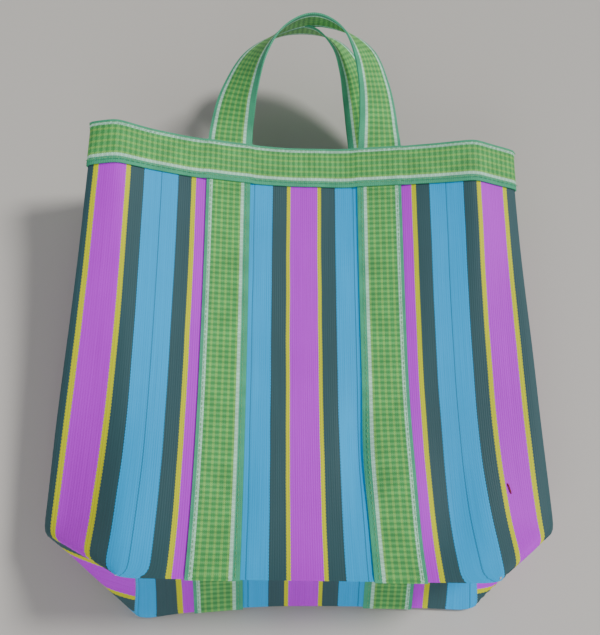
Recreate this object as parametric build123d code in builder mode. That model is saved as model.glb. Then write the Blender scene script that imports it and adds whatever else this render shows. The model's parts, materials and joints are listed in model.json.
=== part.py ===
from build123d import *
from math import atan2, cos, degrees, hypot, pi, radians, sin
import os

# Striped market tote, lying on its back panel. Millimetres, +Z up.
# X runs across the bag, +Y from the base to the mouth and the handles.

# Cloth and webbing
cloth = 0.8
webbing = 1.4
webbing_width = 38.0
fold_gap = 1.2              # the cloth panels stop this far short of each crease
clearance = 0.3             # between pieces of different bodies

# The bag as it lies, on the outer faces of the cloth
half_base = 134.0           # half the base's width
half_mouth = 152.0          # half the mouth's width, between the front creases
base_height = 92.0          # height of the front crease above the floor
base_lean = 8.0             # the base's lower edge stands this far out
mouth_run = 378.0           # from the front crease to the mouth, level
mouth_height = 68.0         # height of the front panel at the mouth
bulge_x = 185.0             # where the side seam meets the base corner's creases
bulge_y = 44.0
bulge_z = 46.0
strap_x = 66.0              # centre of each strap

# Handles
front_slope = 22.0          # degrees above level
front_rise = 130.0          # from the band to the middle of the arch
front_arch = 66.0           # the arch's radius
back_slope = 36.0
back_rise = 131.0
back_arch = 54.0
flat_run = 12.0             # the legs are flat this far, then twist on edge
leg_steps = 9
arch_steps = 12

# Trim
hem_depth = 24.0
binding_width = 8.0
binding_inset = 5.0
tack_length = 30.0
tack_width = 2.2
tack_height = 0.6
tack_margin = 4.0

root_y = mouth_run + webbing / 2 + clearance       # the handles' hinges
root_lift = 2.2             # front hinge above the panel, to clear the band's face
near_y = -base_lean - webbing
far_y = (root_y + (front_rise + webbing / 2) * cos(radians(front_slope))
         + webbing_width / 2 * sin(radians(front_slope)))
centre_y = (near_y + far_y) / 2

panel_angle = atan2(base_height - mouth_height, mouth_run)
panel_length = hypot(mouth_run, base_height - mouth_height)

os.makedirs("parts", exist_ok=True)


def place(x, y, z):
    """A point given from the front crease, in the part's own frame."""
    return Vector(x, y - centre_y, z)


def on_front(x, along):
    """A point on the front panel's outer face, along it from the base crease."""
    return place(x, along * cos(panel_angle), base_height - along * sin(panel_angle))


def on_back(x, along):
    """A point on the back panel's outer face, along it from the base's lower edge."""
    return place(x, along - base_lean, webbing)


def between(start, end, distance):
    """The point this far from start towards end."""
    return start + (end - start).normalized() * distance


def patch(corners, thickness, outside, margin=0.0, lift=0.0):
    """A flat piece on the plane through the corners, thick towards the outside if positive."""
    normal = (corners[1] - corners[0]).cross(corners[-1] - corners[0]).normalized()
    if normal.dot(outside) < 0:
        normal = normal * -1
    face = Plane(origin=corners[0] + normal * lift, x_dir=corners[1] - corners[0], z_dir=normal)
    flat = [face.to_local_coords(corner) for corner in corners]
    with BuildPart() as piece:
        with BuildSketch(face):
            with BuildLine():
                Polyline([(point.X, point.Y) for point in flat], close=True)
            make_face()
            if margin:
                offset(amount=-margin, kind=Kind.INTERSECTION, mode=Mode.REPLACE)
        extrude(amount=thickness)
    return piece.part


def rectangle_on(surface, x_range, along_range, thickness, outside, lift=0.0):
    """A patch on the front or back panel between two widths and two lengths."""
    x_low, x_high = x_range
    low, high = along_range
    corners = [surface(x_low, low), surface(x_high, low), surface(x_high, high), surface(x_low, high)]
    return patch(corners, thickness, outside, lift=lift)


def save(part, label):
    part.label = label
    export_step(part, f"parts/{label}.step")


up = Vector(0, 0, 1)
down = Vector(0, 0, -1)
towards_base = Vector(0, -1, 0)
strap_sides = {"left": -1, "right": 1}
half_strap = webbing_width / 2
strap_edges = {
    name: sorted([side * strap_x - half_strap, side * strap_x + half_strap])
    for name, side in strap_sides.items()
}
strap_length = panel_length - webbing_width
back_length = mouth_run + base_lean

# Front panel, its band, hem and straps
front_corners = [on_front(-half_base, 0), on_front(half_base, 0),
                 on_front(half_mouth, panel_length), on_front(-half_mouth, panel_length)]
save(patch(front_corners, -cloth, up, fold_gap), "front_panel")
band_half = half_mouth - fold_gap
save(rectangle_on(on_front, (-band_half, band_half), (strap_length + 0.1, panel_length),
                  webbing, up), "front_band")
save(rectangle_on(on_front, (-band_half + 6, band_half - 6),
                  (panel_length - hem_depth, panel_length - fold_gap), -cloth, up, -cloth), "front_hem")
for name, edges in strap_edges.items():
    save(rectangle_on(on_front, edges, (fold_gap, strap_length), webbing, up), f"front_strap_{name}")

# Back panel, its band, hem and straps. The straps and the band are what the bag lies on.
back_corners = [on_back(-half_base, 0), on_back(half_base, 0),
                on_back(half_mouth, back_length), on_back(-half_mouth, back_length)]
back_strap_length = back_length - webbing_width
save(patch(back_corners, -cloth, down, fold_gap), "back_panel")
save(rectangle_on(on_back, (-band_half, band_half), (back_strap_length + 0.1, back_length),
                  webbing, down), "back_band")
save(rectangle_on(on_back, (-band_half + 6, band_half - 6),
                  (back_length - hem_depth, back_length - fold_gap), -cloth, down, -cloth), "back_hem")
for name, edges in strap_edges.items():
    save(rectangle_on(on_back, edges, (fold_gap, back_strap_length), webbing, down),
         f"back_strap_{name}")

# Base, which closes the bag between the two panels, and the straps that pass under it
base_corners = [on_front(-half_base, 0), on_front(half_base, 0), on_back(half_base, 0),
                on_back(-half_base, 0)]
save(patch(base_corners, -cloth, towards_base, fold_gap), "base_panel")
for name, (low, high) in strap_edges.items():
    corners = [between(on_front(low, 0), on_back(low, 0), fold_gap),
               between(on_front(high, 0), on_back(high, 0), fold_gap),
               between(on_back(high, 0), on_front(high, 0), fold_gap),
               between(on_back(low, 0), on_front(low, 0), fold_gap)]
    save(patch(corners, webbing, towards_base), f"base_strap_{name}")


def seam_at_mouth(side):
    """Where the planes of the two half gussets meet the mouth."""
    bulge = place(side * bulge_x, bulge_y, bulge_z)
    upper = Plane(origin=bulge, z_dir=(on_front(side * half_base, 0) - bulge).cross(
        on_front(side * half_mouth, panel_length) - bulge))
    lower = Plane(origin=bulge, z_dir=(on_back(side * half_base, 0) - bulge).cross(
        on_back(side * half_mouth, back_length) - bulge))
    seam = upper.z_dir.cross(lower.z_dir)
    reach = (place(0, mouth_run, 0).Y - bulge.Y) / seam.Y
    return bulge + seam * reach


# Gussets, with the side seam down their middle, bulging outwards
for name, side in strap_sides.items():
    outside = Vector(side, 0, 0)
    bulge = place(side * bulge_x, bulge_y, bulge_z)
    seam_end = seam_at_mouth(side)
    crease_front = on_front(side * half_base, 0)
    crease_back = on_back(side * half_base, 0)
    mouth_front = on_front(side * half_mouth, panel_length)
    mouth_back = on_back(side * half_mouth, back_length)
    save(patch([crease_front, bulge, seam_end, mouth_front], -cloth, outside, fold_gap),
         f"{name}_gusset_front")
    save(patch([crease_back, bulge, seam_end, mouth_back], -cloth, outside, fold_gap),
         f"{name}_gusset_rear")
    save(patch([crease_front, bulge, crease_back], -cloth, outside, fold_gap),
         f"{name}_corner_gusset")

    # The band goes on round the gusset: one piece above the seam and one below
    with BuildPart() as side_band:
        for mouth, crease in ((mouth_front, crease_front), (mouth_back, crease_back)):
            near = between(mouth, seam_end, fold_gap)
            far = between(seam_end, mouth, fold_gap)
            corners = [near, far, between(far, bulge, webbing_width),
                       between(near, crease, webbing_width)]
            add(patch(corners, webbing, outside))
    save(side_band.part, f"{name}_band")

    # Bound seam allowance inside the side seam
    inwards = Vector(-side, 0, 0)
    seam = (seam_end - bulge).normalized()
    start = bulge + seam * binding_width
    end = seam_end - seam * hem_depth / 2
    corners = [start + inwards * binding_inset, end + inwards * binding_inset,
               end + inwards * (binding_inset + binding_width),
               start + inwards * (binding_inset + binding_width)]
    save(patch(corners, cloth, up, lift=-cloth / 2), f"{name}_seam_binding")

    # Allowance of the seam that closes the base's corner, standing inside it
    seam_foot = crease_back + inwards * binding_inset + Vector(0, base_lean + 3, binding_width)
    seam_top = crease_front + inwards * binding_inset + Vector(0, 3, -binding_width)
    depth = Vector(0, binding_width, 0)
    save(patch([seam_foot, seam_foot + depth, seam_top + depth, seam_top], cloth, outside),
         f"{name}_corner_seam")

# Bartacks across each strap: on the front band's face, and inside on the back hem and panel
tack_rows = (tack_margin, webbing_width - tack_margin)
for label, surface, length, lifts in (
        ("front_bartacks", on_front, panel_length, (webbing, webbing)),
        ("back_bartacks", on_back, back_length, (2 * cloth, cloth))):
    with BuildPart() as bartacks:
        for side in strap_sides.values():
            for row, lift in zip(tack_rows, lifts):
                x_range = (side * strap_x - tack_length / 2, side * strap_x + tack_length / 2)
                along_range = (length - row - tack_width / 2, length - row + tack_width / 2)
                add(rectangle_on(surface, x_range, along_range, tack_height, up, lift))
    save(bartacks.part, label)


def ease(share):
    """0 to 1 with a level start and end."""
    share = min(max(share, 0.0), 1.0)
    return share * share * (3 - 2 * share)


def handle(root, slope, rise, arch):
    """A webbing loop: two flat legs that twist on edge and meet in an arch."""
    leg = rise - arch
    lie = Plane(origin=root, x_dir=(1, 0, 0), z_dir=(0, -sin(radians(slope)), cos(radians(slope))))
    stations = []
    for step in range(leg_steps + 1):
        run = leg * step / leg_steps
        share = ease((run - flat_run) / (leg - flat_run))
        stations.append((strap_x - (strap_x - arch) * ease(run / leg), run, 0.0, 90 * share))
    for step in range(1, arch_steps // 2 + 1):
        turn = pi * step / arch_steps
        stations.append((arch * cos(turn), leg + arch * sin(turn), turn, 90.0))
    with BuildPart() as loop:
        mirrored = [(-x, run, pi - turn, twist) for x, run, turn, twist in stations[-2::-1]]
        for x, run, turn, twist in stations + mirrored:
            outward = lie.x_dir * cos(turn) + lie.y_dir * sin(turn)
            along = lie.y_dir * cos(turn) - lie.x_dir * sin(turn)
            width = outward * cos(radians(twist)) - lie.z_dir * sin(radians(twist))
            centre = root + lie.x_dir * x + lie.y_dir * run
            with BuildSketch(Plane(origin=centre, x_dir=width, z_dir=along)):
                Rectangle(webbing_width, webbing)
        loft(ruled=True)
    return loop.part


# Handles, one from the front band and one from the back band
front_root = place(0, root_y, mouth_height + root_lift)
back_root = place(0, root_y, webbing / 2)
save(handle(front_root, front_slope, front_rise, front_arch), "front_handle")
save(handle(back_root, back_slope, back_rise, back_arch), "back_handle")

print("centre_y", round(centre_y, 3), "panel slope", round(degrees(panel_angle), 3))
print("front hinge", front_root, "back hinge", back_root)
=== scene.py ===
import bpy
import bmesh
import json
import math
import numpy as np
from mathutils import Euler, Matrix, Vector, noise
from mathutils.bvhtree import BVHTree
from mathutils.interpolate import poly_3d_calc


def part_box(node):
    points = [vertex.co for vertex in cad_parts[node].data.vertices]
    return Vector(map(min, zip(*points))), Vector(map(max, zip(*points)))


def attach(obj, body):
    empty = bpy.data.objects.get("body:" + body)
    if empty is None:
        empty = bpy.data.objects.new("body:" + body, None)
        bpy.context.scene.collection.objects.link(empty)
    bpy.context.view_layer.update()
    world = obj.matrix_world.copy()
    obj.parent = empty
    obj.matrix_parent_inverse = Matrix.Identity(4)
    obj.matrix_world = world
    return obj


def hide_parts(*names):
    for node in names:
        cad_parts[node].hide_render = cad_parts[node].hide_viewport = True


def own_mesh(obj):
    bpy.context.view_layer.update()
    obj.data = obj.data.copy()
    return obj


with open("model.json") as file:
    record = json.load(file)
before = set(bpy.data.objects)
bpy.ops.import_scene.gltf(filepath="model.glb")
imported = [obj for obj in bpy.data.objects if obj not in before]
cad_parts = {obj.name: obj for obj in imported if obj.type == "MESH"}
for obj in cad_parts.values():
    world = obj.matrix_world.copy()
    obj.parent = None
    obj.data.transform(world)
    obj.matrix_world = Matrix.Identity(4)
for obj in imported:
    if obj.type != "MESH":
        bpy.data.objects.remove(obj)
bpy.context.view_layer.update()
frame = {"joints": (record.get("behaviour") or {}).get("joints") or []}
bpy.ops.object.select_all(action="DESELECT")
print("frame loaded")

# Where the frame puts the bag
frontCrease = Vector((0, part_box("front_panel")[0].y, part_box("front_panel")[1].z))
floorZ = 0.0
hinge = {j["name"]: Vector(j["pos_m"]) for j in frame["joints"]}

# The bag's cloth, flat: one strip, front - base - back, with a notch cut beside each end of the base
cloth = {
    "halfWidth": 0.190,
    "halfBase": 0.134,
    "depth": 0.112,
    "length": 0.383,
    "thickness": 0.0008,
    "strapInner": 0.047,
    "strapOuter": 0.085,
    "bandWidth": 0.038,
    "shift": 0.0025,         # the stripes and straps sit this far left of the cut's middle
}
# How it lies, in metres from the front crease; left is the negative side
lie = {
    "edgeZ": 0.092,
    "edgeTilt": -0.013,                  # the right end of the front crease is lower
    "mouthZ": 0.066,
    "mouthLift": {-1: 0.040, 1: 0.024},  # the mouth's corners stand higher than its middle
    "sag": 0.0295,
    "sagBias": 0.62,                     # brings the sag nearer the base
    "sagSoft": 0.08,                     # keeps the slope finite at the crease
    "sagAtEdge": 0.004,                  # how much more it sags towards the sides
    "edgeAt": 0.165,                     # the heights at the ends are meant for this far out
    "backZ": 0.0036,
    "baseTuck": 0.022,                   # the base folds inwards
    "foot": {-1: 0.019, 0: 0.008, 1: 0.011},
    "footInset": {-1: 0.0015, 1: 0.0},
    "cornerTuck": {-1: 0.019, 1: 0.028},
    "cornerReach": {-1: 0.0015, 1: 0.0045},  # the front's ends are pulled outwards
    "reachFrom": 0.104,                  # this far out from the middle
    "reachFade": 0.03,
    "reachUp": 0.12,                     # and this far up the front
    "cornerPinch": 0.007,                # the boxed corner's seam bows inwards
    "headTuck": 0.006,                   # the back's mouth lies this far towards the base
    "backFade": 0.2,                     # the back's foot and curl run out over this length
    "insetFade": 0.1,
    "seamBow": 0.004,                    # the side seam bows down
    "backCurl": 0.8,                     # the back leaves the floor in a curve
    "bulge": {-1: (-0.202, 0.040, 0.044), 1: (0.1935, 0.044, 0.046)},
    "seamMouth": {-1: (-0.1845, 0.377, 0.099), 1: (0.1885, 0.375, 0.068)},
    "crease": {-1: 0.168, 1: 0.147},
    "backFlat": {-1: 0.035, 1: 0.065},
}


# Measures from the front crease into the frame's own place
def toRow(x, y, z):
    return Vector((x, y + frontCrease.y, z))


def mix(a, b, t):
    return a + (b - a) * t


def ease(t):
    t = min(max(t, 0.0), 1.0)
    return t * t * (3 - 2 * t)


def frontHeight(u, t):
    side = u / lie["edgeAt"]
    edge = lie["edgeZ"] + lie["edgeTilt"] * side
    mouth = lie["mouthZ"] + lie["mouthLift"][1 if u > 0 else -1] * side * side
    bias, soft = lie["sagBias"], lie["sagSoft"]
    along = ((t + soft) ** bias - soft ** bias) / ((1 + soft) ** bias - soft ** bias)
    sag = lie["sag"] + lie["sagAtEdge"] * side * side
    return mix(edge, mouth, t) - sag * math.sin(math.pi * along)


steps = 96
tableHalf = 0.200            # the table reaches past the cloth's sides


# Places on the front for every u and t, keeping the cloth's own lengths
def buildFrontTable():
    us = np.linspace(-tableHalf, tableHalf, steps + 1)
    ts = np.linspace(0, 1, steps + 1)
    z = np.array([[frontHeight(u, t) for t in ts] for u in us])
    zu = np.gradient(z, us, axis=0)
    zt = np.gradient(z, ts * cloth["length"], axis=1)
    dx = np.sqrt(np.clip(1 - zu ** 2, 0.2, 1)) * (us[1] - us[0])
    dy = np.sqrt(np.clip(1 - zt ** 2, 0.2, 1)) * (ts[1] - ts[0]) * cloth["length"]
    x = np.cumsum(dx, axis=0)
    x -= x[steps // 2]
    y = np.cumsum(dy, axis=1)
    y -= y[:, :1]
    return np.stack([x, y, z], -1)


frontTable = buildFrontTable()


def frontPoint(u, s):
    a = (u + tableHalf) / (2 * tableHalf) * steps
    b = min(max(s / cloth["length"], 0), 1) * steps
    i, j = min(int(a), steps - 1), min(int(b), steps - 1)
    fa, fb = a - i, b - j
    t = frontTable
    near = t[i, j] * (1 - fa) + t[i + 1, j] * fa
    far = t[i, j + 1] * (1 - fa) + t[i + 1, j + 1] * fa
    p = near * (1 - fb) + far * fb
    out = ease((abs(u) - lie["reachFrom"]) / lie["reachFade"])
    pull = lie["cornerReach"][1 if u > 0 else -1] * out * (1 - ease(s / lie["reachUp"]))
    return Vector(p) + Vector((cloth["shift"] + math.copysign(pull, u), 0, 0))


def backPoint(u, s):
    side = 1 if u > 0 else -1
    out = min(abs(u) / cloth["halfBase"], 1.2)
    foot = mix(lie["foot"][0], lie["foot"][side], out * out)
    inset = lie["footInset"][side] * out ** 3 * (1 - ease(s / lie["insetFade"]))
    tuck = mix(foot, lie["headTuck"], ease(s / lie["backFade"]))
    return Vector((u + cloth["shift"] - side * inset, s - tuck, lie["backZ"]))


def bulgePoint(side):
    return Vector(lie["bulge"][side])


# The boxed corner's seam, share 0 at the front crease and 1 at the back
def basePoint(side, share):
    top = frontPoint(side * cloth["halfBase"], 0)
    foot = backPoint(side * cloth["halfBase"], 0)
    wave = math.sin(math.pi * share)
    return mix(top, foot, share) + Vector((-side * lie["cornerPinch"], lie["cornerTuck"][side], 0)) * wave


# The side seam, from its bulge to the mouth
def sidePoint(side, s):
    t = (s - cloth["depth"] / 2) / (cloth["length"] - cloth["depth"] / 2)
    p = mix(bulgePoint(side), Vector(lie["seamMouth"][side]), t)
    p.z -= lie["seamBow"] * math.sin(math.pi * t)
    return p


def creaseAt(side, s, front):
    t = s / cloth["length"]
    if front:
        return mix(cloth["halfBase"], lie["crease"][side], t)
    return mix(cloth["halfBase"], lie["backFlat"][side], ease(t))


# Where the cloth's flat point (u, v) lies. v is 0 in the middle of the base
def placeOf(u, v):
    half = cloth["depth"] / 2
    base = cloth["halfBase"]
    side = 1 if u >= 0 else -1
    if abs(v) <= half + 1e-9 and abs(u) <= base + 1e-9:
        share = (half - v) / (2 * half)
        p = mix(frontPoint(u, 0), backPoint(u, 0), share)
        wave = math.sin(math.pi * share)
        towardsEnd = ease((abs(u) / base - 0.75) / 0.25)
        return mix(p + Vector((0, lie["baseTuck"] * wave, 0)), basePoint(side, share), towardsEnd)
    front = v > 0
    surface = frontPoint if front else backPoint
    s = abs(v) - half
    crease = creaseAt(side, s, front)
    if abs(u) <= crease:
        return surface(u, s)
    outer = min(base + s, cloth["halfWidth"])
    if abs(u) <= outer:
        start = surface(side * crease, s)
        if s < half:
            end = mix(surface(side * base, 0), bulgePoint(side), s / half)
        else:
            end = sidePoint(side, s)
        share = (abs(u) - crease) / max(outer - crease, 1e-9)
        p = mix(start, end, share)
        if not front:
            curl = 1 + lie["backCurl"] * ease((s - half) / lie["backFade"])
            p.z = mix(start.z, end.z, share ** curl)
        return p
    a = (abs(u) - base) / half
    seam = basePoint(side, a / 2 if front else 1 - a / 2)
    fold = mix(surface(side * base, 0), bulgePoint(side), a)
    return mix(seam, fold, (s / half) / a)


# Grid lines through the stops, each stop being (place, cells up to it)
def lines(*stops):
    found = [stops[0][0]]
    for (start, _), (end, cells) in zip(stops, stops[1:]):
        found += [mix(start, end, (i + 1) / cells) for i in range(cells)]
    return found


def onlyThis(obj):
    bpy.ops.object.select_all(action="DESELECT")
    obj.select_set(True)
    bpy.context.view_layer.objects.active = obj


# A grid with the given lines, its UV map in metres of flat cloth, moved to its place
def newGrid(name, columns, rows, shape):
    bpy.ops.object.select_all(action="DESELECT")
    nx, ny = len(columns) - 1, len(rows) - 1
    bpy.ops.mesh.primitive_grid_add(x_subdivisions=nx, y_subdivisions=ny, size=1)
    obj = bpy.context.object
    obj.name = name
    mesh = obj.data
    flat = [(columns[round((v.co.x + 0.5) * nx)], rows[round((v.co.y + 0.5) * ny)]) for v in mesh.vertices]
    layer = mesh.uv_layers[0]
    layer.name = "flat"
    for loop in mesh.loops:
        layer.data[loop.index].uv = flat[loop.vertex_index]
    for v, (a, b) in zip(mesh.vertices, flat):
        v.co = shape(a, b)
    return obj


def faceUv(face, layer):
    total = Vector((0, 0))
    for loop in face.loops:
        total += loop[layer].uv
    return total / len(face.loops)


def makeCloth():
    half = cloth["depth"] / 2
    shift, inner, outer = cloth["shift"], cloth["strapInner"], cloth["strapOuter"]
    columns = lines((-cloth["halfWidth"], 0), (-cloth["halfBase"], 14),
                    (-outer - shift, 12), (-inner - shift, 10), (inner - shift, 24), (outer - shift, 10),
                    (cloth["halfBase"], 13), (cloth["halfWidth"], 14))
    end = half + cloth["length"]
    upper = lines((half, 0), (2 * half, 14), (end - cloth["bandWidth"], 60), (end, 9))
    rows = [-v for v in upper[::-1]] + lines((-half, 0), (half, 28))[1:-1] + upper
    obj = newGrid("tote_cloth", columns, rows, lambda u, v: toRow(*placeOf(u, v)))
    bm = bmesh.new()
    bm.from_mesh(obj.data)
    layer = bm.loops.layers.uv["flat"]
    corners = [f for f in bm.faces
               if abs(faceUv(f, layer).x) > cloth["halfBase"] and abs(faceUv(f, layer).y) < half]
    bmesh.ops.delete(bm, geom=corners, context="FACES")
    bmesh.ops.remove_doubles(bm, verts=bm.verts, dist=0.0002)
    bm.normal_update()
    middle = min(bm.faces, key=lambda f: (faceUv(f, layer) - Vector((0, 0.25))).length)
    if middle.normal.z < 0:
        bmesh.ops.reverse_faces(bm, faces=bm.faces)
    bm.to_mesh(obj.data)
    bm.free()
    return obj


toteCloth = makeCloth()
print("cloth folded", len(toteCloth.data.vertices))


creases = {
    "firm": 0.003,           # the front crease stays sharp within this distance
    "softFrom": 0.112,       # except towards its ends
    "softFade": 0.022,
    "endSoft": 0.85,
    "mouth": 0.004,
    "mouthFirm": 0.6,
    "rounds": 10,
}


# Rounds the creases, the front crease least
def relax(obj):
    group = obj.vertex_groups.new(name="soft")
    crease = {}
    layer = obj.data.uv_layers["flat"]
    for loop in obj.data.loops:
        u, v = layer.data[loop.index].uv
        s = abs(v) - cloth["depth"] / 2
        end = ease((abs(u) - creases["softFrom"]) / creases["softFade"])
        firm = math.exp(-(s / creases["firm"]) ** 2) * (1 - creases["endSoft"] * end)
        mouth = math.exp(-((cloth["length"] - s) / creases["mouth"]) ** 2) * creases["mouthFirm"]
        crease[loop.vertex_index] = max(crease.get(loop.vertex_index, 0), firm, mouth)
    for index, firm in crease.items():
        group.add([index], 1 - firm, "REPLACE")
    smooth = obj.modifiers.new("soften", "SMOOTH")
    smooth.factor, smooth.iterations, smooth.vertex_group = 0.5, creases["rounds"], "soft"
    onlyThis(obj)
    bpy.ops.object.modifier_apply(modifier=smooth.name)


relax(toteCloth)

wrinkles = {
    "broad": 0.0022,
    "broadSize": (0.075, 0.16, 0.1),
    "broadFrom": (3.1, 0.7, 1.9),        # the place in the noise that gives this bag's folds
    "fine": 0.0006,
    "fineSize": (0.022, 0.09),
    "fineLayer": 4.0,
    "edgeFade": 0.035,                   # no folds at the creases
    "floorFrom": 0.012,                  # and none where the cloth lies on the floor
    "floorFade": 0.03,
    # dents and swells on the front: place across and up, reach across and up, height
    "dents": ((0.040, 0.110, 0.009, 0.040, -0.0070), (0.112, 0.060, 0.016, 0.040, -0.0040),
              (0.072, 0.085, 0.020, 0.050, 0.0035), (-0.115, 0.090, 0.030, 0.050, 0.0020),
              (-0.030, 0.060, 0.018, 0.035, 0.0018), (0.150, 0.300, 0.016, 0.050, 0.0020)),
}


# Slow undulations of slack cloth, and small ones along the stripes
def wrinkle(obj):
    obj.data.update()
    normals = [v.normal.copy() for v in obj.data.vertices]
    room, dent = {}, {}
    layer = obj.data.uv_layers["flat"].data
    for loop in obj.data.loops:
        u, v = layer[loop.index].uv
        s = abs(v) - cloth["depth"] / 2
        room[loop.vertex_index] = ease(s / wrinkles["edgeFade"])
        dent[loop.vertex_index] = (v > 0) * sum(
            height * math.exp(-((u - across) / wide) ** 2 - ((s - up) / long) ** 2)
            for across, up, wide, long, height in wrinkles["dents"])
    for v, n in zip(obj.data.vertices, normals):
        p = v.co
        free = min(max((p.z - wrinkles["floorFrom"]) / wrinkles["floorFade"], 0), 1) * room[v.index]
        where = Vector([c / size for c, size in zip(p, wrinkles["broadSize"])])
        broad = noise.noise(where + Vector(wrinkles["broadFrom"]))
        wide, long = wrinkles["fineSize"]
        fine = noise.noise(Vector((p.x / wide, p.y / long, wrinkles["fineLayer"])))
        v.co = p + n * free * (wrinkles["broad"] * broad + wrinkles["fine"] * fine + dent[v.index])
    obj.data.update()


wrinkle(toteCloth)
print("cloth relaxed")


# Materials
def newMaterial(name):
    material = bpy.data.materials.new(name)
    material.use_nodes = True
    nodes = material.node_tree.nodes
    nodes.clear()
    out = nodes.new("ShaderNodeOutputMaterial")
    shader = nodes.new("ShaderNodeBsdfPrincipled")
    material.node_tree.links.new(shader.outputs[0], out.inputs[0])
    return material, material.node_tree, shader


def link(tree, source, target):
    tree.links.new(source, target)


def mathNode(tree, operation, a, b=None, c=None):
    node = tree.nodes.new("ShaderNodeMath")
    node.operation = operation
    for socket, value in zip(node.inputs, (a, b, c)):
        if value is None:
            continue
        if isinstance(value, (int, float)):
            socket.default_value = value
        else:
            link(tree, value, socket)
    return node.outputs[0]


def mixColor(tree, factor, a, b, blend="MIX"):
    node = tree.nodes.new("ShaderNodeMix")
    node.data_type, node.blend_type = "RGBA", blend
    for socket, value in ((node.inputs[0], factor), (node.inputs[6], a), (node.inputs[7], b)):
        if isinstance(value, (int, float)):
            socket.default_value = value
        elif isinstance(value, tuple):
            socket.default_value = (*value, 1)
        else:
            link(tree, value, socket)
    return node.outputs[2]


def ramp(tree, factor, stops, interpolation="CONSTANT"):
    node = tree.nodes.new("ShaderNodeValToRGB")
    node.color_ramp.interpolation = interpolation
    elements = node.color_ramp.elements
    while len(elements) > 1:
        elements.remove(elements[-1])
    elements[0].position, elements[0].color = stops[0][0], (*stops[0][1], 1)
    for place, color in stops[1:]:
        elements.new(place).color = (*color, 1)
    link(tree, factor, node.inputs[0])
    return node.outputs[0]


def flatCoords(tree, name="flat"):
    uv = tree.nodes.new("ShaderNodeUVMap")
    uv.uv_map = name
    split = tree.nodes.new("ShaderNodeSeparateXYZ")
    link(tree, uv.outputs[0], split.inputs[0])
    return uv.outputs[0], split.outputs[0], split.outputs[1]


def noiseNode(tree, vector, scale, detail=2.0, stretch=(1, 1, 1)):
    mapping = tree.nodes.new("ShaderNodeMapping")
    mapping.inputs["Scale"].default_value = stretch
    link(tree, vector, mapping.inputs[0])
    node = tree.nodes.new("ShaderNodeTexNoise")
    node.inputs["Scale"].default_value = scale
    node.inputs["Detail"].default_value = detail
    link(tree, mapping.outputs[0], node.inputs["Vector"])
    return node.outputs["Fac"]


def wave(tree, coordinate, pitch, shape="SINE"):
    return mathNode(tree, shape, mathNode(tree, "MULTIPLY", coordinate, 2 * math.pi / pitch))


# True where a coordinate is within reach of a centre
def within(tree, coordinate, centre, reach):
    away = mathNode(tree, "ABSOLUTE", mathNode(tree, "SUBTRACT", coordinate, centre))
    return mathNode(tree, "LESS_THAN", away, reach)


# Darkens and lightens a colour by a factor; the stops are (factor, grey)
def shade(tree, color, factor, *stops):
    greys = ramp(tree, factor, [(place, (grey, grey, grey)) for place, grey in stops], "LINEAR")
    return mixColor(tree, 1.0, color, greys, "MULTIPLY")


# How far a wave is up (or down, with a sign of -1), cut off below and above the two levels
def crest(tree, source, low, high, sign=1):
    level = mathNode(tree, "MULTIPLY_ADD", source, 0.5 * sign, 0.5)
    return ramp(tree, level, [(low, (0, 0, 0)), (high, (1, 1, 1))], "LINEAR")


# The relief of two crossing waves of yarn, the second bent by the first
def weave(tree, shader, first, second, bend, share, strength, depth):
    bent = mathNode(tree, "SINE", mathNode(tree, "ADD", second, mathNode(tree, "MULTIPLY", first, bend)))
    height = mathNode(tree, "ADD", mathNode(tree, "MULTIPLY", first, share),
                      mathNode(tree, "MULTIPLY", bent, 1 - share))
    bump = tree.nodes.new("ShaderNodeBump")
    bump.inputs["Strength"].default_value = strength
    bump.inputs["Distance"].default_value = depth
    link(tree, height, bump.inputs["Height"])
    link(tree, bump.outputs[0], shader.inputs["Normal"])


stripes = {
    "magenta": (0.66, 0.012, 0.96),
    "yellow": (0.72, 0.74, 0.0),
    "grey": (0.040, 0.108, 0.124),
    "blue": (0.0, 0.47, 0.99),
    "pattern": (       # millimetres from the bag's middle line, mirrored on the other side
        (0.0, "magenta"), (11.0, "yellow"), (14.6, "grey"), (26.8, "blue"), (55.8, "grey"),
        (67.8, "yellow"), (71.4, "magenta"), (93.6, "yellow"), (97.2, "grey"), (108.8, "blue"),
        (138.2, "grey"), (149.8, "yellow"), (153.4, "magenta"), (175.4, "yellow"), (179.0, "grey"),
    ),
    "span": 0.200,           # the pattern's own width, half the bag's and a little more
    "jag": 0.00022,          # the stripes' edges are stepped by the weave
    "jagPitch": 0.0026,
    "drift": 0.0012,         # and wander a little
    "darkYarns": (0.043, 0.1235),
    "darkYarnHalf": 0.00045,
    "darkYarn": (0.02, 0.09, 0.16),
    "reverse": (0.75, 0.74, 0.70),
    "ribPitch": 0.0017,
    "weftPitch": 0.0011,
    "specular": 0.25,
}


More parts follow.
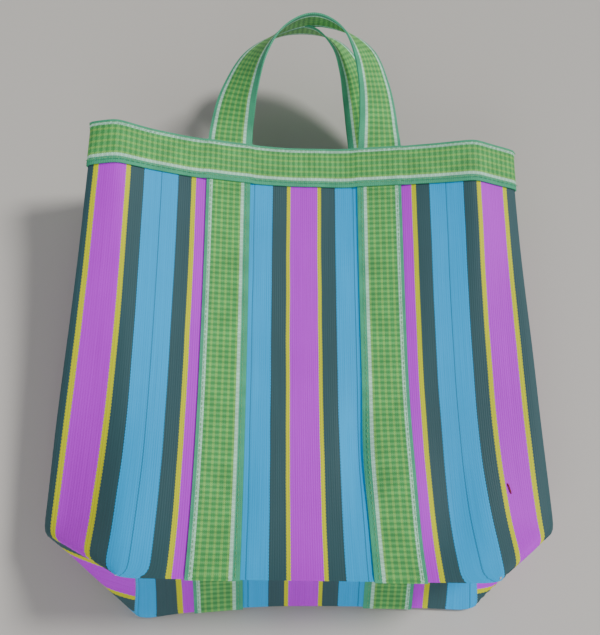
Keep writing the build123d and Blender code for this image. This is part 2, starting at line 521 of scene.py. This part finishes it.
# fade whitens the cloth's reverse
def stripedCloth(name, fade=0.0):
    material, tree, shader = newMaterial(name)
    uv, u, v = flatCoords(tree)
    jag = mathNode(tree, "MULTIPLY", wave(tree, v, stripes["jagPitch"]), stripes["jag"])
    wander = mathNode(tree, "SUBTRACT", noiseNode(tree, uv, 14, 1), 0.5)
    drift = mathNode(tree, "MULTIPLY", wander, stripes["drift"])
    across = mathNode(tree, "ADD", u, cloth["shift"])
    for offset in (jag, drift):
        across = mathNode(tree, "ADD", across, offset)
    across = mathNode(tree, "ABSOLUTE", across)
    scaled = mathNode(tree, "MULTIPLY", across, 1 / stripes["span"])
    stops = [(mm / 1000 / stripes["span"], stripes[tone]) for mm, tone in stripes["pattern"]]
    color = ramp(tree, scaled, stops)
    # faint lengthwise yarn streaks and one dark yarn in each blue stripe
    streak = noiseNode(tree, uv, 900, 2, (1, 0.012, 1))
    color = shade(tree, color, streak, (0.3, 0.92), (0.7, 1.04))
    first, second = [within(tree, across, centre, stripes["darkYarnHalf"])
                     for centre in stripes["darkYarns"]]
    dark = mathNode(tree, "MULTIPLY", mathNode(tree, "MAXIMUM", first, second), 0.55)
    color = mixColor(tree, dark, color, stripes["darkYarn"])
    color = shade(tree, color, noiseNode(tree, uv, 9, 3), (0.3, 0.93), (0.7, 1.05))
    if fade:
        color = mixColor(tree, fade, color, stripes["reverse"])
    link(tree, color, shader.inputs["Base Color"])
    weft = mathNode(tree, "MULTIPLY", v, 2 * math.pi / stripes["weftPitch"])
    weave(tree, shader, wave(tree, u, stripes["ribPitch"]), weft, 1.2, 0.5, 0.35, 0.0003)
    rough = mathNode(tree, "ADD", 0.42, mathNode(tree, "MULTIPLY", streak, 0.18))
    link(tree, rough, shader.inputs["Roughness"])
    shader.inputs["Specular IOR Level"].default_value = stripes["specular"]
    return material


webbing = {
    "width": 0.038,
    "edge": (0.075, 0.46, 0.25),
    "offCentre": 0.0014,     # the selvedge is wider on the side away from the handle's outside
    "ground": (0.085, 0.43, 0.11),
    "light": (0.34, 0.70, 0.15),
    "rowLight": (0.19, 0.60, 0.17),
    "rowDark": (0.045, 0.28, 0.085),
    "white": (0.60, 1.0, 0.78),
    "column": 0.0051,
    "row": 0.0046,
    "edgeFrom": 0.0134,      # the selvedge starts this far from the middle
    "whiteAt": 0.0137,       # and has a white line along it
    "whiteHalf": 0.0013,
    "pickPitch": 0.0018,
    "pickJag": 0.00025,
    "ribPitch": 0.0014,
    "roughness": 0.55,
    "specular": 0.25,
}


def checkWebbing(name):
    material, tree, shader = newMaterial(name)
    uv, across, along = flatCoords(tree, "webbing")
    side = mathNode(tree, "ABSOLUTE", mathNode(tree, "SUBTRACT", across, webbing["offCentre"]))
    # light columns, and rows light and dark, make the check
    column = wave(tree, across, webbing["column"], "COSINE")
    row = wave(tree, along, webbing["row"], "COSINE")
    color = webbing["ground"]
    for mask, strength, tone in ((crest(tree, row, 0.50, 0.95), 0.75, "rowLight"),
                                 (crest(tree, column, 0.50, 0.92), 0.70, "light"),
                                 (crest(tree, row, 0.72, 0.98, -1), 0.55, "rowDark")):
        color = mixColor(tree, mathNode(tree, "MULTIPLY", mask, strength), color, webbing[tone])
    # selvedge
    jag = mathNode(tree, "MULTIPLY", wave(tree, along, webbing["pickPitch"]), webbing["pickJag"])
    shifted = mathNode(tree, "ADD", side, jag)
    edge = mathNode(tree, "GREATER_THAN", shifted, webbing["edgeFrom"])
    color = mixColor(tree, edge, color, webbing["edge"])
    white = within(tree, shifted, webbing["whiteAt"], webbing["whiteHalf"])
    pick = mathNode(tree, "MULTIPLY_ADD", wave(tree, along, 2 * webbing["pickPitch"]), 0.15, 0.85)
    color = mixColor(tree, mathNode(tree, "MULTIPLY", white, pick), color, webbing["white"])
    color = shade(tree, color, noiseNode(tree, uv, 60, 3), (0.3, 0.85), (0.7, 1.12))
    link(tree, color, shader.inputs["Base Color"])
    picks = mathNode(tree, "MULTIPLY", along, 2 * math.pi / webbing["pickPitch"])
    weave(tree, shader, wave(tree, across, webbing["ribPitch"]), picks, 1.6, 0.4, 0.5, 0.0005)
    shader.inputs["Roughness"].default_value = webbing["roughness"]
    shader.inputs["Specular IOR Level"].default_value = webbing["specular"]
    return material


outerCloth = stripedCloth("striped cloth")
innerCloth = stripedCloth("striped cloth reverse", 0.35)
webbingMaterial = checkWebbing("check webbing")


def spunThread(name, color):
    material, tree, shader = newMaterial(name)
    coords = tree.nodes.new("ShaderNodeTexCoord").outputs["Object"]
    fibre = noiseNode(tree, coords, 900, 2)
    dark = tuple(c * 0.75 for c in color)
    link(tree, ramp(tree, fibre, [(0.3, dark), (0.7, color)], "LINEAR"), shader.inputs["Base Color"])
    shader.inputs["Roughness"].default_value = 0.6
    return material


def wovenTape(name, color):
    material, tree, shader = newMaterial(name)
    uv, u, v = flatCoords(tree)
    picks = mathNode(tree, "MULTIPLY_ADD", wave(tree, mathNode(tree, "ADD", u, v), 0.0012), 0.5, 0.5)
    dark = tuple(c * 0.8 for c in color)
    link(tree, ramp(tree, picks, [(0.2, dark), (0.8, color)], "LINEAR"), shader.inputs["Base Color"])
    shader.inputs["Roughness"].default_value = 0.7
    return material


seamTape = wovenTape("seam tape", (0.62, 0.64, 0.62))
greenThread = spunThread("green thread", (0.20, 0.58, 0.24))
paleThread = spunThread("pale thread", (0.62, 0.74, 0.70))
redThread = spunThread("red thread", (0.30, 0.012, 0.04))
print("materials made")


# A copy of part of the cloth, lifted off it and thickened away from it.
# Everything sewn flat to the cloth is made this way, so that it follows the folds.
def ribbonFrom(source, name, keepFace, uvOf, lift, thickness, inwards=False):
    obj = source.copy()
    obj.data = source.data.copy()
    obj.name = name
    obj.vertex_groups.clear()
    bpy.context.scene.collection.objects.link(obj)
    bm = bmesh.new()
    bm.from_mesh(obj.data)
    bm.normal_update()
    layer = bm.loops.layers.uv["flat"]
    own = bm.loops.layers.uv.new("webbing")
    flat = {}
    for f in bm.faces:
        for loop in f.loops:
            flat.setdefault(loop.vert, loop[layer].uv.copy())
    normals = {v: v.normal.copy() for v in bm.verts}
    unwanted = [f for f in bm.faces if not keepFace(faceUv(f, layer))]
    bmesh.ops.delete(bm, geom=unwanted, context="FACES")
    for f in bm.faces:
        for loop in f.loops:
            loop[own].uv = uvOf(loop[layer].uv)
    for v in bm.verts:
        v.co += normals[v] * (lift(flat[v]) if callable(lift) else lift)
    bm.to_mesh(obj.data)
    bm.free()
    solid = obj.modifiers.new("thick", "SOLIDIFY")
    solid.thickness, solid.offset = thickness, -1.0 if inwards else 1.0
    onlyThis(obj)
    bpy.ops.object.modifier_apply(modifier=solid.name)
    bpy.ops.object.shade_smooth_by_angle(angle=math.radians(50))
    return obj


straps = {
    "centre": (cloth["strapInner"] + cloth["strapOuter"]) / 2,
    "lift": 0.0001,
    "thickness": 0.0013,
    "overlap": 0.012,        # the strap ends this far up under the band
}
endV = cloth["depth"] / 2 + cloth["length"]
bandV = endV - cloth["bandWidth"]


def makeStrap(side, name):
    inner, outer = cloth["strapInner"], cloth["strapOuter"]

    def keep(uv):
        return inner < side * (uv.x + cloth["shift"]) < outer and abs(uv.y) < bandV + straps["overlap"]

    def own(uv):
        return (side * (uv.x + cloth["shift"]) - straps["centre"], uv.y)
    return ribbonFrom(toteCloth, name, keep, own, straps["lift"], straps["thickness"])


band = {"thickness": 0.0013, "liftOnStrap": 0.0015, "lift": 0.0002, "slope": 0.006}
hem = {"depth": 0.024, "gap": 0.0001, "thickness": 0.0007}
binding = {"width": 0.009, "below": 0.026, "gap": 0.0002, "thickness": 0.0006}


# The band rides up over the ends of the straps
def bandLift(uv):
    off = abs(abs(uv.x + cloth["shift"]) - straps["centre"]) - webbing["width"] / 2
    return mix(band["liftOnStrap"], band["lift"], ease((off + 0.001) / band["slope"]))


def makeBand(name):
    def own(uv):
        far = abs(uv.y) - (bandV + endV) / 2
        return (far, uv.x if uv.y > 0 else 2 * cloth["halfWidth"] - uv.x)
    return ribbonFrom(toteCloth, name, lambda uv: abs(uv.y) > bandV, own, bandLift, band["thickness"])


# The hem and the bindings lie on the cloth's inner face
def makeLining(name, spec, keep):
    lift = -cloth["thickness"] - spec["gap"]
    return ribbonFrom(toteCloth, name, keep, lambda uv: uv, lift, spec["thickness"], inwards=True)


def isHem(uv):
    return abs(uv.y) > endV - hem["depth"]


def isBinding(uv):
    atSide = abs(uv.x) > cloth["halfWidth"] - binding["width"]
    atCorner = abs(uv.y) < cloth["depth"] / 2 and abs(uv.x) > cloth["halfBase"] - binding["width"]
    return abs(uv.y) < endV - binding["below"] and (atSide or atCorner)


strapLeft = makeStrap(-1, "strap_left")
strapRight = makeStrap(1, "strap_right")
mouthBand = makeBand("mouth_band")
mouthHem = makeLining("mouth_hem", hem, isHem)
seamBindings = makeLining("seam_bindings", binding, isBinding)
print("straps, band, hem and bindings made")


# Finds the place and normal of any flat point on the cloth
def flatMap(obj):
    layer = obj.data.uv_layers["flat"].data
    flats, places, normals, faces = [], [], [], []
    for face in obj.data.polygons:
        faces.append(range(len(flats), len(flats) + face.loop_total))
        for index in face.loop_indices:
            vertex = obj.data.vertices[obj.data.loops[index].vertex_index]
            flats.append(Vector((*layer[index].uv, 0)))
            places.append(vertex.co.copy())
            normals.append(vertex.normal.copy())
    tree = BVHTree.FromPolygons(flats, [list(f) for f in faces])

    def find(u, v):
        point, _, index, _ = tree.find_nearest(Vector((u, v, 0)))
        weights = poly_3d_calc([flats[i] for i in faces[index]], point)
        place, normal = Vector(), Vector()
        for w, i in zip(weights, faces[index]):
            place += places[i] * w
            normal += normals[i] * w
        return place, normal.normalized()
    return find


onCloth = flatMap(toteCloth)
thread = {
    "radius": 0.00030,
    "stitch": 0.0030,
    "pitch": 0.0044,
    "inset": 0.0035,         # rows run this far in from the webbing's edges
    "onBand": 0.0029,
    "onStrap": 0.0015,
}


# One stitch, a unit long, whose ends dip into the cloth
def modelStitch():
    bpy.ops.object.select_all(action="DESELECT")
    bpy.ops.mesh.primitive_cylinder_add(vertices=6, radius=1, depth=1, rotation=(0, math.pi / 2, 0))
    stitch = bpy.context.object
    bpy.ops.object.transform_apply(location=False, rotation=True, scale=False)
    bpy.ops.object.mode_set(mode="EDIT")
    for cut in (-0.28, 0.28):
        bpy.ops.mesh.select_all(action="SELECT")
        bpy.ops.mesh.bisect(plane_co=(cut, 0, 0), plane_no=(1, 0, 0))
    bpy.ops.object.mode_set(mode="OBJECT")
    for v in stitch.data.vertices:
        v.co.z += 0.35 if abs(v.co.x) < 0.4 else -0.8
    mesh = stitch.data
    bpy.data.objects.remove(stitch)
    return mesh


stitchMesh = modelStitch()


def addStitch(bm, a, b, up, radius):
    along = (b - a).normalized()
    across = up.cross(along).normalized()
    up = along.cross(across)
    length = (b - a).length
    turn = Matrix((along * length, across * radius, up * radius)).transposed().to_4x4()
    before = len(bm.verts)
    bm.from_mesh(stitchMesh)
    bm.verts.ensure_lookup_table()
    bmesh.ops.transform(bm, matrix=Matrix.Translation((a + b) / 2) @ turn, verts=bm.verts[before:])


# Stitches along a straight line of the flat cloth
def stitchRow(bm, start, end, height, stitch=None, pitch=None, lean=0.0):
    start, end = Vector(start), Vector(end)
    stitch, pitch = stitch or thread["stitch"], pitch or thread["pitch"]
    count = int((end - start).length / pitch)
    step = (end - start) / count
    side = Vector((-step.y, step.x)).normalized()
    for i in range(count):
        ahead = step.normalized() * stitch * 0.5 * (1 - lean)
        aside = side * stitch * 0.5 * lean
        a = start + step * (i + 0.5) - ahead - aside
        b = start + step * (i + 0.5) + ahead + aside
        (pa, na), (pb, nb) = onCloth(*a), onCloth(*b)
        up = (na + nb).normalized()
        addStitch(bm, pa + na * height, pb + nb * height, up, thread["radius"])


def finishThread(bm, name):
    mesh = bpy.data.meshes.new(name)
    for f in bm.faces:
        f.smooth = True
    bm.to_mesh(mesh)
    bm.free()
    obj = bpy.data.objects.new(name, mesh)
    bpy.context.scene.collection.objects.link(obj)
    return obj


def makeSeamThread():
    bm = bmesh.new()
    wide = cloth["halfWidth"]
    for face in (1, -1):
        for v in (endV - thread["inset"], bandV + thread["inset"]):
            stitchRow(bm, (-wide + 0.001, face * v), (wide - 0.001, face * v), thread["onBand"])
    for side in (1, -1):
        for u in (cloth["strapInner"] + thread["inset"], cloth["strapOuter"] - thread["inset"]):
            place = side * u - cloth["shift"]
            stitchRow(bm, (place, -bandV), (place, bandV), thread["onStrap"])
    return finishThread(bm, "seam_thread")


cornerStitch = {
    "inset": 0.0018,
    "ends": 0.002,
    "height": 0.0002,
    "length": 0.0030,
    "pitch": 0.0021,
    "lean": 0.9,
}


# Close slanted stitches over the boxed corners' seams
def makeCornerThread():
    bm = bmesh.new()
    half = cloth["depth"] / 2
    for side in (1, -1):
        u = side * (cloth["halfBase"] - cornerStitch["inset"])
        v = half - cornerStitch["ends"]
        stitchRow(bm, (u, -v), (u, v), cornerStitch["height"], stitch=cornerStitch["length"],
                  pitch=cornerStitch["pitch"], lean=cornerStitch["lean"])
    return finishThread(bm, "corner_thread")


looseEnd = {"from": (0.1530, 0.141), "to": (0.1548, 0.133), "height": 0.0004, "radius": 0.0007}


def makeLooseThread():
    bm = bmesh.new()
    a, n = onCloth(*looseEnd["from"])
    b, _ = onCloth(*looseEnd["to"])
    up = n * looseEnd["height"]
    addStitch(bm, a + up, b + up, n, looseEnd["radius"])
    return finishThread(bm, "loose_thread")


seamThread = makeSeamThread()
cornerThread = makeCornerThread()
looseThread = makeLooseThread()
print("stitches made")

# The cloth gets its thickness last, with the reverse as its second material
solid = toteCloth.modifiers.new("thick", "SOLIDIFY")
solid.thickness, solid.offset = cloth["thickness"], -1.0
solid.material_offset = 1
toteCloth.data.materials.append(outerCloth)
toteCloth.data.materials.append(innerCloth)
onlyThis(toteCloth)
bpy.ops.object.modifier_apply(modifier=solid.name)
bpy.ops.object.shade_smooth_by_angle(angle=math.radians(60))


# Handles: webbing that leaves the band flat and turns on edge over the top.
# Each place on the path is (across, along the slope, turn in degrees).
frontHandle = {
    "face": 1,               # sewn to the front
    "rise": 0.0,             # how far the sewn end sits above the cloth's own face
    "reach": 0.026,          # the sewn end shapes this much of the loop
    "root": hinge["front_handle_swing"] + Vector((0, 0.0037, -0.0033)),
    "slope": 24.0,
    "path": ((-0.065, -0.007, 0), (-0.063, 0.018, 12), (-0.057, 0.046, 32), (-0.044, 0.076, 54),
             (-0.021, 0.098, 80), (0.007, 0.108, 88), (0.034, 0.100, 76), (0.053, 0.080, 52),
             (0.062, 0.053, 39), (0.066, 0.024, 25), (0.067, -0.007, 8)),
}
backHandle = {
    "face": -1,
    "rise": -0.0008,
    "reach": 0.030,
    "root": hinge["back_handle_swing"] + Vector((0, 0.003, 0.0045)),
    "slope": 34.0,
    "path": ((-0.066, -0.004, 0), (-0.066, 0.022, 2), (-0.064, 0.054, 18), (-0.057, 0.084, 43),
             (-0.044, 0.113, 65), (-0.022, 0.133, 88), (0.006, 0.137, 92), (0.031, 0.124, 70),
             (0.045, 0.102, 50), (0.054, 0.075, 29), (0.060, 0.046, 15), (0.065, 0.018, 4),
             (0.066, -0.004, 0)),
}


handleThickness = 0.0014
sewnTuck = 0.004             # how far the sewn ends go down between band and cloth


# A smooth line through the points, share 0 to 1
def curveThrough(points, share):
    count = len(points) - 1
    a = min(share * count, count - 1e-6)
    i = int(a)
    f = a - i
    p = [Vector(points[min(max(k, 0), count)]) for k in (i - 1, i, i + 1, i + 2)]
    return 0.5 * (2 * p[1] + (p[2] - p[0]) * f + (2 * p[0] - 5 * p[1] + 4 * p[2] - p[3]) * f * f
                  + (3 * p[1] - p[0] - 3 * p[2] + p[3]) * f ** 3)


def makeHandle(name, spec):
    points = [Vector(p) for p in spec["path"]]
    cuts = 400
    samples = [curveThrough(points, i / cuts) for i in range(cuts + 1)]
    lengths = [0.0]
    for a, b in zip(samples, samples[1:]):
        lengths.append(lengths[-1] + (b.xy - a.xy).length)
    total = lengths[-1]
    slope = math.radians(spec["slope"])
    along = Vector((0, math.cos(slope), math.sin(slope)))
    normal = Vector((0, -math.sin(slope), math.cos(slope)))
    right = Vector((1, 0, 0))

    def at(distance):
        share = np.interp(distance, lengths, range(cuts + 1)) / cuts
        return curveThrough(points, float(share))

    def shape(across, distance):
        p = at(distance)
        d = (at(min(distance + 0.002, total)) - at(max(distance - 0.002, 0))).xy.normalized()
        turn = math.radians(p.z)
        width = (right * -d.y + along * d.x) * math.cos(turn) - normal * math.sin(turn)
        return spec["root"] + right * p.x + along * p.y + width * across

    # The ends come down to the mouth's edge, between band and cloth
    def sewn(across, distance):
        near = min(distance, total - distance)
        place = shape(across, distance)
        if near >= spec["reach"]:
            return place
        end = shape(across, 0 if distance < total / 2 else total)
        edge, _ = onCloth(end.x - cloth["shift"], spec["face"] * endV)
        goal = Vector((end.x, edge.y - sewnTuck, edge.z + spec["rise"]))
        return place + (goal - end) * ease(1 - near / spec["reach"])

    columns = lines((-webbing["width"] / 2, 0), (webbing["width"] / 2, 10))
    rows = lines((0, 0), (total, 110))
    obj = newGrid(name, columns, rows, sewn)
    obj.data.uv_layers["flat"].name = "webbing"
    solid = obj.modifiers.new("thick", "SOLIDIFY")
    solid.thickness, solid.offset = handleThickness, 0.0
    onlyThis(obj)
    bpy.ops.object.modifier_apply(modifier=solid.name)
    bpy.ops.object.shade_smooth_by_angle(angle=math.radians(50))
    return obj


handleFront = makeHandle("handle_front", frontHandle)
handleBack = makeHandle("handle_back", backHandle)
for piece in (strapLeft, strapRight, mouthBand, handleFront, handleBack):
    piece.data.materials.clear()
    piece.data.materials.append(webbingMaterial)
for piece, material in ((mouthHem, outerCloth), (seamBindings, seamTape), (seamThread, greenThread),
                        (cornerThread, paleThread), (looseThread, redThread)):
    piece.data.materials.append(material)
print("handles made")


# Stage
stage = {
    "floor": (0.60, 0.575, 0.54),
    "floorRoughness": 0.55,
    "sunPower": 2.45,
    "sunAngle": 13,
    "sunFrom": (0.68, 0.20, 0.76),
    "sunColor": (1.0, 0.985, 0.96),
    "fillPlace": (-0.4, -1.7, 0.9),
    "fillTarget": (0, -0.2, 0),
    "fillSize": 1.4,
    "fillPower": 13,
    "fillColor": (0.95, 0.97, 1.0),
    "room": (0.86, 0.88, 0.90),
    "roomPower": 0.36,
}


def makeFloor():
    bpy.ops.object.select_all(action="DESELECT")
    bpy.ops.mesh.primitive_plane_add(size=6, location=(0, 0, floorZ))
    floor = bpy.context.object
    floor.name = "floor"
    material, _, shader = newMaterial("pale floor")
    shader.inputs["Base Color"].default_value = (*stage["floor"], 1)
    shader.inputs["Roughness"].default_value = stage["floorRoughness"]
    floor.data.materials.append(material)


def addLight(name, kind, color, power):
    data = bpy.data.lights.new(name, kind)
    data.color, data.energy = color, power
    light = bpy.data.objects.new(name, data)
    bpy.context.scene.collection.objects.link(light)
    return light


makeFloor()
sun = addLight("key", "SUN", stage["sunColor"], stage["sunPower"])
sun.data.angle = math.radians(stage["sunAngle"])
sun.rotation_euler = Vector(stage["sunFrom"]).to_track_quat("Z", "Y").to_euler()
fill = addLight("fill", "AREA", stage["fillColor"], stage["fillPower"])
fill.data.shape, fill.data.size = "SQUARE", stage["fillSize"]
fill.location = stage["fillPlace"]
fill.rotation_euler = (Vector(stage["fillTarget"]) - fill.location).to_track_quat("-Z", "Y").to_euler()
world = bpy.data.worlds.new("room")
world.use_nodes = True
background = world.node_tree.nodes["Background"]
background.inputs[0].default_value = (*stage["room"], 1)
background.inputs[1].default_value = stage["roomPower"]
bpy.context.scene.world = world

cameraSetup = {
    "place": (-0.0271, -0.0779, 0.7163),
    "pitch": 22.83, "yaw": -3.35, "roll": 3.69,
    "lens": 49.57, "shift": (0.0142, 0.0282),
}
cameraData = bpy.data.cameras.new("camera")
camera = bpy.data.objects.new("camera", cameraData)
bpy.context.scene.collection.objects.link(camera)
camera.location = toRow(*cameraSetup["place"])
pitch, yaw, roll = [math.radians(cameraSetup[key]) for key in ("pitch", "yaw", "roll")]
turn = Euler((pitch, 0, yaw)).to_matrix()
camera.rotation_euler = (turn @ Matrix.Rotation(roll, 3, "Z")).to_euler()
cameraData.lens = cameraSetup["lens"]
cameraData.shift_x, cameraData.shift_y = cameraSetup["shift"]
bpy.context.scene.camera = camera
print("stage set")

# Who moves with what
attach(toteCloth, "back")
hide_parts("front_panel", "back_panel", "base_panel",
            "left_gusset_front", "left_gusset_rear", "right_gusset_front", "right_gusset_rear",
            "left_corner_gusset", "right_corner_gusset")
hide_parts("front_strap_left", "back_strap_left", "base_strap_left")
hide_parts("front_strap_right", "back_strap_right", "base_strap_right")
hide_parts("front_band", "back_band", "left_band", "right_band")
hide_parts("front_hem", "back_hem")
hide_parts("left_seam_binding", "right_seam_binding", "left_corner_seam", "right_corner_seam")
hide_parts("front_bartacks", "back_bartacks")
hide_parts("front_handle")
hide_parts("back_handle")
sewnOn = (strapLeft, strapRight, mouthBand, mouthHem, seamBindings, seamThread, cornerThread, looseThread)
for piece in sewnOn:
    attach(piece, "back")
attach(handleFront, "front_handle")
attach(handleBack, "back_handle")
for piece in (toteCloth, *sewnOn, handleBack):
    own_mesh(piece)
